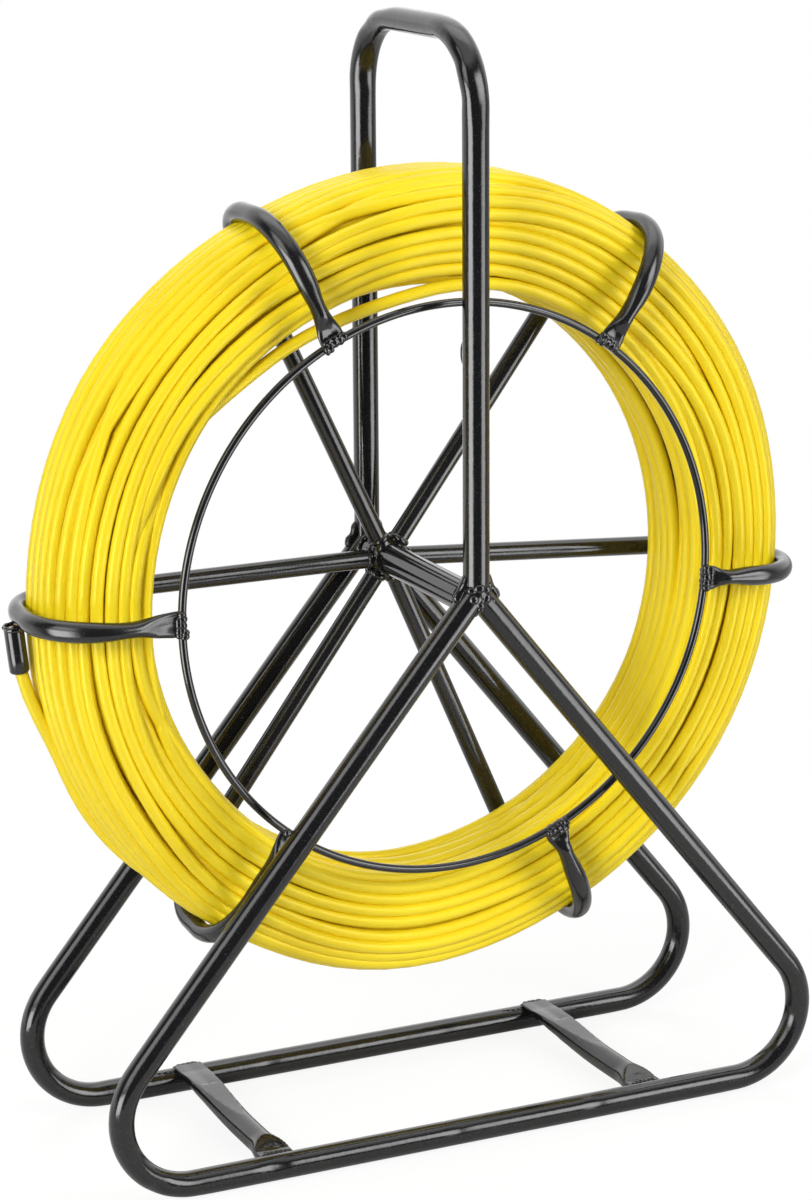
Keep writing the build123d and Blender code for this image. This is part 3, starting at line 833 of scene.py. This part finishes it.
bars_beads = []
for number, (name, ends) in enumerate(zip(("left", "right"), CROSS_BAR_ENDS)):
    node = f"cross_bar_{name}"
    piece(f"{name}_cross_bar", [cross_bar(*ends)], stand_paint, "stand", [node], 25.0)
    bars_beads += bar_beads(*ends, number)
piece("cross_bar_beads", bars_beads, weld_paint, "stand", ["cross_bar_welds"])

# The keeper: a wire loop that stands out from the front of the handle, with a lump at each root
KEEPER_STEP = 0.8
KEEPER_DEEP = 5.0  # its ends lie this far behind the middle of the handle's tube
KEEPER_LUMP = (2.6, 1.8, 2.6)

keeper_root = -FRAME_Y + TUBE_R
keeper_out = keeper_root + KEEPER_REACH - KEEPER_R
keeper_half = KEEPER_LENGTH / 2 - KEEPER_R
keeper_in = -FRAME_Y + KEEPER_DEEP
keeper_line = bent_line([
    (0, keeper_in, KEEPER_Z - keeper_half), (0, keeper_out, KEEPER_Z - keeper_half),
    (0, keeper_out, KEEPER_Z + keeper_half), (0, keeper_in, KEEPER_Z + keeper_half),
], [KEEPER_BEND, KEEPER_BEND], KEEPER_STEP)
keeper_section = round_section(np.full(len(keeper_line), KEEPER_R), 20)
keeper = [skin(carry(keeper_line, (1, 0, 0), keeper_section))]
for z in (-keeper_half, keeper_half):
    keeper.append(weld_ball((0, keeper_root + 0.2, KEEPER_Z + z), KEEPER_LUMP, 120 + int(z), 3.0))
piece("keeper", keeper, wire_paint, "stand", ["keeper_loop"])

# ---- wheel -------------------------------------------------------------------------------------

sleeve_line = np.array([(0, y, AXLE_Z) for y in np.linspace(-SLEEVE_HALF, SLEEVE_HALF, 60)])
sleeve_section = round_section(np.full(len(sleeve_line), SLEEVE_R), 48)
sleeve = skin(carry(sleeve_line, (1, 0, 0), sleeve_section))
piece("sleeve", [sleeve], sleeve_paint, "wheel", ["hub_sleeve"])

ARM_ROOT = 8.0
ARM_STEP = 2.0
ARM_SIDES = 36
ARM_PAST_RING = 0.6
ARM_BEND_REACH = 8.0
ARM_BEND_WIDER = 0.12
ARM_BEND_THINNER = 0.10
CROWN_ACROSS = 40.0  # over which an arm's turn and longer reach come in, from its back bend
CROWN_FROM = 165.0
CROWN_RISE = 30.0
NECK_THINNER = 0.22
NECK_LONG = 0.45  # of its distance from the ring
PRESS_BEFORE_NECK = 3.0
PRESS_FULL = 4.0
FOLD_FULLER = 0.35
FOLD_AT = 0.82  # of the half width
FOLD_WIDE = 0.16
HOLLOW = 0.45
HOLLOW_WIDE = 0.45
HOOK_DENTS = ((8.0, 3.4, 2.6, 1.1), (7.0, -3.6, 2.6, 1.0))  # out from the ring, across, reach, depth
HOOK_DENTS_FRONT = 2.4  # of the arm's end
FAR = 99.0  # the distance to the ring that stands for all of the arm before it turns back


def hook_arm(angle, crown_turn, ring_turn, longer, neck_at):
    """A tube along the spoke, over the coil and back to the ring, pressed flat where it is welded.

    The arm is turned a little about the axle towards its crown and its end on the ring. On the
    last stretch the section goes from a circle to a flat oval by a smooth step of the distance
    from the ring; it draws in a little first, and the oval is hollow in its middle, where the two
    walls of the tube meet, and full along its folded edges. Bends spread the tube sideways.
    """
    corners = np.array([
        (ARM_ROOT, ARM_Y, 0), (ARM_REACH, ARM_Y, 0),
        (ARM_REACH, RING_Y, 0), (RING_RADIUS + ARM_PAST_RING, RING_Y, 0),
    ])
    flat = bent_line(corners, [ARM_BACK_BEND, ARM_FRONT_BEND], ARM_STEP)
    r, y = flat[:, 0], flat[:, 1]
    crown = np.clip((ARM_Y - y) / CROWN_ACROSS, 0, 1) * np.clip((r - CROWN_FROM) / CROWN_RISE, 0, 1)
    way_back = (ARM_Y - y + ARM_REACH - r) / (ARM_Y - RING_Y + ARM_REACH - RING_RADIUS)
    returned = np.clip(way_back, 0, 1) * (y < ARM_Y - 1)
    turned_by = crown_turn * np.sin(pi * crown / 2) + (ring_turn - crown_turn) * returned**2
    a = np.radians(angle + turned_by)[:, None]
    out = np.concatenate([np.cos(a), 0 * a, np.sin(a)], axis=1)
    tangential = np.concatenate([-np.sin(a), 0 * a, np.cos(a)], axis=1)
    radius = r + longer * crown
    line = radius[:, None] * out + y[:, None] * np.array([0, 1, 0]) + np.array([0, 0, AXLE_Z])
    returning = (y < RING_Y + ARM_FRONT_BEND) & (r < ARM_REACH)
    to_ring = np.where(returning, r - RING_RADIUS, FAR)
    pressed_from = neck_at - PRESS_BEFORE_NECK
    press = smooth_step((pressed_from - to_ring) / (pressed_from - PRESS_FULL))
    neck = np.exp(-(((to_ring - neck_at) / (NECK_LONG * neck_at)) ** 2))
    b = np.linspace(0, 2 * pi, ARM_SIDES, endpoint=False)[None]
    bend = turning(flat, ARM_BEND_REACH)[:, None]
    half_wide = (ARM_R * (1 - NECK_THINNER * neck) + (ARM_FLAT_HALF - ARM_R) * press)[:, None]
    half_thick = (ARM_R + (ARM_FLAT_THICK / 2 - ARM_R) * press)[:, None]
    folds = FOLD_FULLER * np.exp(-(((np.abs(np.cos(b)) - FOLD_AT) / FOLD_WIDE) ** 2))
    hollow = HOLLOW * np.exp(-((np.cos(b) / HOLLOW_WIDE) ** 2))
    section = np.stack([
        half_wide * (1 + ARM_BEND_WIDER * bend) * np.cos(b),
        half_thick * (1 - ARM_BEND_THINNER * bend) * np.sin(b) * (1 + press[:, None] * (folds - hollow)),
    ], axis=-1)
    rings = carry(line, tangential, section)
    front = RING_RADIUS * out[-1] + np.array([0, RING_Y - HOOK_DENTS_FRONT, AXLE_Z])
    spots = []
    for away, across, reach, depth in HOOK_DENTS:
        spots.append((front + out[-1] * away + tangential[-1] * across, reach, depth))
    return skin(dent(rings, line, spots))


for number, (angle, bends) in enumerate(zip(ARM_ANGLES, ARM_SETS), start=1):
    arm = hook_arm(angle, *bends)
    piece(f"hook_{number}", [arm], wheel_paint, "wheel", [f"hook_arm_{number}"])

RING_OVAL = 0.35  # how far the bent wire is from round, and from flat
RING_WAVE = 0.3


def closed_wire(line, radius, side, count):
    """A wire bent round on itself: round sections square to the line, whose heading at a point
    runs from the point before to the point after."""
    heading = unit(np.roll(line, -1, axis=0) - np.roll(line, 1, axis=0))
    section = round_section(np.full(len(line), radius), count)
    return skin(carry(line, side, section, heading), loop=True)


ring_angles = np.linspace(0, 360, 240, endpoint=False)
ring_radius = RING_RADIUS + RING_OVAL * np.sin(np.radians(2 * ring_angles + 40))
ring_y = RING_Y + RING_WAVE * np.cos(np.radians(3 * ring_angles))
ring_line = about_axle(ring_angles, ring_radius, ring_y)
ring = closed_wire(ring_line, RING_R, (0, 1, 0), 18)
piece("ring", [ring], wire_paint, "wheel", ["front_ring"])

RING_BEADS = (  # outside the ring's line, in front of it, size, and from and to along the ring
    (0.6, 1.2, 2.5, -6.8, 5.5),
    (2.6, 1.9, 1.7, -4.0, 6.5),
    (-0.4, 1.9, 2.2, 2.0, 7.4),
)
RING_BACK_BEAD = (0.5, 1.6, 2.0, 6.0)  # outside the line, behind it, size, half length
RING_RIPPLE = 2.9

ring_beads = []
for number, (angle, (_, ring_turn, _, _)) in enumerate(zip(ARM_ANGLES, ARM_SETS)):
    middle = angle + ring_turn
    for outside, before, size, low, high in RING_BEADS:
        turn = np.degrees(np.linspace(low, high, 26) / RING_RADIUS)
        run = about_axle(middle + turn, RING_RADIUS + outside, RING_Y - before)
        seed = 200 + 10 * number + int(10 * size)
        ring_beads.append(weld_bead(run, (0, 1, 0), size, RING_RIPPLE, seed))
    outside, after, size, half = RING_BACK_BEAD
    turn = np.degrees(np.linspace(-half, half, 20) / RING_RADIUS)
    run = about_axle(middle + turn, RING_RADIUS + outside, RING_Y + after)
    ring_beads.append(weld_bead(run, (0, 1, 0), size, RING_RIPPLE, 300 + number))
piece("ring_beads", ring_beads, weld_paint, "wheel", ["ring_welds"])

SPOKE_BEAD_OUT = 10.6
SPOKE_BEAD_ACROSS = 3.9
SPOKE_BEAD_ALONG = 4.4
SPOKE_BEAD_R = 1.8
SPOKE_RIPPLE = 3.2
SPOKE_CORE_LESS = 1.2  # smaller in radius and longer along the axle than the plain weld

spoke_middle = np.array([0, ARM_Y, AXLE_Z])
core_r = SPOKE_WELD_R - SPOKE_CORE_LESS
core = (core_r, SPOKE_WELD_HALF + SPOKE_CORE_LESS, core_r)
spoke_beads = [weld_ball(spoke_middle, core, 400, 7.0, 0.10)]
for number, angle in enumerate(np.radians(ARM_ANGLES)):
    turn = np.linspace(0, 2 * pi, 34)[:, None]
    out = np.array([cos(angle), 0, sin(angle)])
    tangential = np.array([-sin(angle), 0, cos(angle)])
    across = np.cos(turn) * SPOKE_BEAD_ACROSS * tangential
    run = spoke_middle + out * SPOKE_BEAD_OUT + across + np.sin(turn) * SPOKE_BEAD_ALONG * np.array([0, 1, 0])
    spoke_beads.append(weld_bead(run, out, SPOKE_BEAD_R, SPOKE_RIPPLE, 410 + number))
piece("spoke_beads", spoke_beads, weld_paint, "wheel", ["spoke_weld"])

# Guide tube on the left arm, its weld, and the brass tip on the rod's end

GUIDE_LIP = 0.3
GUIDE_BEAD_DOWN = 1.4  # from the guide's top
GUIDE_BEAD_IN = 0.1
GUIDE_BEAD_R = 1.5
GUIDE_RIPPLE = 2.7
GUIDE_BEAD_TURN = 0.9 * pi
GROOVES = (2.0, 3.4, 4.8)
GROOVE_DEPTH = 0.25
THREAD_PITCH = 0.8
THREAD_DEPTH = 0.35
guide_across = np.cross(GUIDE_UP, (0, 1, 0))


def turned(profile):
    """A profile of (distance up the guide's line, radius) points turned about that line."""
    profile = np.asarray(profile, float)
    line = np.array([guide_point(distance) for distance in profile[:, 0]])
    b = np.linspace(0, 2 * pi, 40, endpoint=False)[None, :, None]
    circle = np.cos(b) * np.array([0, 1, 0]) + np.sin(b) * guide_across
    return line[:, None] + profile[:, None, 1:] * circle


guide_top = GUIDE_LENGTH - GUIDE_BITE
guide_wall = [
    (0.3, GUIDE_R - GUIDE_LIP), (0.9, GUIDE_R), (8, GUIDE_R), (16, GUIDE_R),
    (guide_top - 0.5, GUIDE_R), (guide_top, GUIDE_R - GUIDE_LIP),
    (guide_top, GUIDE_BORE_R + 0.2), (guide_top - 0.5, GUIDE_BORE_R),
    (12, GUIDE_BORE_R), (0.5, GUIDE_BORE_R), (0, GUIDE_BORE_R + GUIDE_LIP), (0, GUIDE_R - 2 * GUIDE_LIP),
]
guide = skin(turned(guide_wall), loop=True)
piece("guide", [guide], wheel_paint, "wheel", ["guide_tube"], 30.0)

collar_turn = np.linspace(-GUIDE_BEAD_TURN, GUIDE_BEAD_TURN, 50)[:, None]
collar_circle = np.cos(collar_turn) * -guide_across + np.sin(collar_turn) * np.array([0, 1, 0])
collar = guide_point(guide_top - GUIDE_BEAD_DOWN) + (GUIDE_R - GUIDE_BEAD_IN) * collar_circle
collar_bead = weld_bead(collar, GUIDE_UP, GUIDE_BEAD_R, GUIDE_RIPPLE, 500)
piece("guide_bead", [collar_bead], weld_paint, "wheel", ["guide_weld"])

tip_low, tip_high = ferrule_bottom, ferrule_bottom + FERRULE_LENGTH
stud_high = tip_high + STUD_LENGTH
tip_profile = [
    (tip_low + 0.4, ROD_R), (tip_low, ROD_R + 0.3),
    (tip_low, FERRULE_R - 0.3), (tip_low + 0.3, FERRULE_R),
]
for groove in GROOVES:
    low = tip_low + groove
    tip_profile += [(low, FERRULE_R), (low + 0.2, FERRULE_R - GROOVE_DEPTH)]
    tip_profile += [(low + 0.6, FERRULE_R - GROOVE_DEPTH), (low + 0.8, FERRULE_R)]
tip_profile += [(tip_high - 0.4, FERRULE_R), (tip_high, FERRULE_R - 0.4), (tip_high, STUD_R)]
for thread in np.arange(tip_high + 0.5, stud_high - 0.6, THREAD_PITCH):
    tip_profile += [(thread, STUD_R), (thread + THREAD_PITCH / 2, STUD_R - THREAD_DEPTH)]
tip_profile += [(stud_high - 0.3, STUD_R), (stud_high, STUD_R - 0.5)]
rod_end = piece("rod_end", [skin(turned(tip_profile))], brass, "wheel", ["rod_tip"], 30.0)

# ---- floor, light and camera -------------------------------------------------------------------

FLOOR_R = 0.55  # a round white table that fades into the white behind it
FLOOR_SIDES = 96
FLOOR_Z = -0.0002
FLOOR_WHITE = 1.04
FLOOR_LIT = (0.84, 1.0)  # share of that white in what the floor shows, in its middle and at its rim
FLOOR_FADE = (0.30, 0.52)  # from the middle, where one goes over into the other

floor_mesh = bpy.data.meshes.new("floor")
turn = np.linspace(0, 2 * pi, FLOOR_SIDES, endpoint=False)
rim = np.stack([FLOOR_R * np.cos(turn), FLOOR_R * np.sin(turn), FLOOR_Z + 0 * turn], axis=-1)
floor_mesh.from_pydata(rim, [], [list(range(FLOOR_SIDES))])
floor = bpy.data.objects.new("floor", floor_mesh)
bpy.context.scene.collection.objects.link(floor)
floor_finish, tree, shader = finish("floor_white", (0.86, 0.86, 0.86), 0.9, 0.0)
lit = tree.nodes.new("ShaderNodeEmission")
lit.inputs["Color"].default_value = (1, 1, 1, 1)
lit.inputs["Strength"].default_value = FLOOR_WHITE
seen = tree.nodes.new("ShaderNodeMixShader")
path = tree.nodes.new("ShaderNodeLightPath")
where = tree.nodes.new("ShaderNodeTexCoord")
away = tree.nodes.new("ShaderNodeVectorMath")
away.operation = "LENGTH"
tree.links.new(where.outputs["Object"], away.inputs[0])
fade = ramp(tree, away.outputs["Value"], *FLOOR_LIT, *FLOOR_FADE)
watched = worked_out(tree, "MULTIPLY", path.outputs["Is Camera Ray"], fade)
tree.links.new(watched, seen.inputs["Fac"])
tree.links.new(shader.outputs["BSDF"], seen.inputs[1])
tree.links.new(lit.outputs["Emission"], seen.inputs[2])
tree.links.new(seen.outputs["Shader"], tree.nodes["Material Output"].inputs["Surface"])
floor_mesh.materials.append(floor_finish)

# The studio: white to the camera, a plain even room to matt surfaces, and to glossy ones a dark
# room with soft panels, a ceiling and a bright wall behind the reel
PANELS = (  # angle from the front towards the right, half width, strength, low, high, soft edge
    (-72, 17, 10.5, -0.6, 0.2, 8.0),
    (-72, 17, 4.0, 0.3, 0.72, 8.0),
    (39, 14, 7.0, -0.6, -0.12, 9.0),
    (45, 11, 5.0, -0.12, 0.2, 7.0),
    (38, 15, 8.0, 0.2, 0.6, 8.0),
    (-160, 48, 1.3, -1.2, 0.06, 18.0),
    (105, 38, 0.55, -1.2, 0.06, 12.0),
)
PANEL_FADE = 0.08
DARK_ROOM = 0.06
PLAIN_ROOM = 0.26
CEILING = 1.4
CEILING_FROM = (0.72, 0.9)  # the height of a direction, from the first trace to the full light
WALL = 1.6
WALL_FROM = (0.0, 0.12)
WALL_SIDES = (-0.1, 0.6)
TOWARDS_WALL = (0.438, 0.899)  # from the reel, seen from above

world = bpy.data.worlds.new("studio")
bpy.context.scene.world = world
world.use_nodes = True
sky = world.node_tree
sky.nodes.clear()
look = sky.nodes.new("ShaderNodeTexCoord")
axes = sky.nodes.new("ShaderNodeSeparateXYZ")
sky.links.new(look.outputs["Generated"], axes.inputs["Vector"])


def times(first, second):
    """Two values of the studio's light multiplied."""
    return worked_out(sky, "MULTIPLY", first, second)


def plus(first, second):
    """Two values of the studio's light added."""
    return worked_out(sky, "ADD", first, second)


def sky_step(value, low, high):
    """0 below the first level, 1 above the second, and smooth between."""
    node = sky.nodes.new("ShaderNodeMapRange")
    node.interpolation_type = "SMOOTHSTEP"
    node.inputs["From Min"].default_value = low
    node.inputs["From Max"].default_value = high
    sky.links.new(value, node.inputs["Value"])
    return node.outputs["Result"]


x_squared = times(axes.outputs["X"], axes.outputs["X"])
y_squared = times(axes.outputs["Y"], axes.outputs["Y"])
level = worked_out(sky, "SQRT", plus(x_squared, plus(y_squared, 1e-6)))


def facing(x, y):
    """The cosine of the angle, seen from above, between a direction and the given one."""
    ahead = plus(times(axes.outputs["X"], x), times(axes.outputs["Y"], y))
    return worked_out(sky, "DIVIDE", ahead, level)


def soft_panel(angle, half, strength, low, high, edge):
    """A tall panel of light round the studio: its middle at this angle from the front towards the
    right, its half width in degrees, its lower and upper edge as heights of the direction, and the
    half width of its soft sides."""
    a = radians(angle)
    across = sky_step(facing(sin(a), -cos(a)), cos(radians(half + edge)), cos(radians(half - edge)))
    above = sky_step(axes.outputs["Z"], low - PANEL_FADE, low + PANEL_FADE)
    past = sky_step(axes.outputs["Z"], high - PANEL_FADE, high + PANEL_FADE)
    return times(times(across, strength), times(above, worked_out(sky, "SUBTRACT", 1.0, past)))


reflected = DARK_ROOM
for panel in PANELS:
    reflected = plus(reflected, soft_panel(*panel))
reflected = plus(reflected, times(sky_step(axes.outputs["Z"], *CEILING_FROM), CEILING))
wall_across = sky_step(facing(*TOWARDS_WALL), *WALL_SIDES)
wall = times(wall_across, sky_step(axes.outputs["Z"], *WALL_FROM))
reflected = plus(reflected, times(wall, WALL))

rays = sky.nodes.new("ShaderNodeLightPath")
white = sky.nodes.new("ShaderNodeBackground")
white.inputs["Color"].default_value = (1.0, 1.0, 1.0, 1)
room = sky.nodes.new("ShaderNodeBackground")
room.inputs["Color"].default_value = (1.0, 1.0, 1.0, 1)
room.inputs["Strength"].default_value = PLAIN_ROOM
seen_through = worked_out(
    sky, "MAXIMUM", rays.outputs["Is Camera Ray"], rays.outputs["Is Transmission Ray"],
)
hidden = worked_out(sky, "SUBTRACT", 1.0, seen_through)
sky.links.new(plus(times(reflected, hidden), seen_through), white.inputs["Strength"])
choose = sky.nodes.new("ShaderNodeMixShader")
shown = worked_out(sky, "MAXIMUM", seen_through, rays.outputs["Is Glossy Ray"])
sky.links.new(shown, choose.inputs["Fac"])
sky.links.new(room.outputs["Background"], choose.inputs[1])
sky.links.new(white.outputs["Background"], choose.inputs[2])
out = sky.nodes.new("ShaderNodeOutputWorld")
sky.links.new(choose.outputs["Shader"], out.inputs["Surface"])


def soft_lamp(name, place, aim, size, power):
    """A square area lamp at a place in metres, turned to its aim. The studio's panels stand for it
    in reflections."""
    lamp = bpy.data.lights.new(name, "AREA")
    lamp.size = size
    lamp.energy = power
    made = bpy.data.objects.new(name, lamp)
    made.location = place
    made.rotation_euler = (Vector(aim) - Vector(place)).to_track_quat("-Z", "Y").to_euler()
    made.visible_glossy = False
    bpy.context.scene.collection.objects.link(made)


soft_lamp("left_lamp", (-1.7, -1.3, 1.1), (0, 0, 0.27), 0.8, 33)
soft_lamp("right_lamp", (1.4, -1.5, 0.9), (0, 0, 0.27), 0.8, 20)
soft_lamp("top_lamp", (-0.2, -0.3, 2.2), (0, 0, 0.2), 1.4, 11)
soft_lamp("back_lamp", (0.5, 1.9, 1.2), (0, 0, 0.27), 1.2, 22)

camera = bpy.data.cameras.new("camera")
camera.sensor_width = 36
camera.lens = 107.25
camera.shift_x = -0.0173
camera.shift_y = 0.0131
view = bpy.data.objects.new("camera", camera)
view.location = (-0.7403, -1.5227, 0.7099)
aim = Vector((0.00374, 0, 0.25319))
view.rotation_euler = (aim - view.location).to_track_quat("-Z", "Y").to_euler()
bpy.context.scene.collection.objects.link(view)
bpy.context.scene.camera = view
bpy.context.scene.view_settings.view_transform = "Standard"
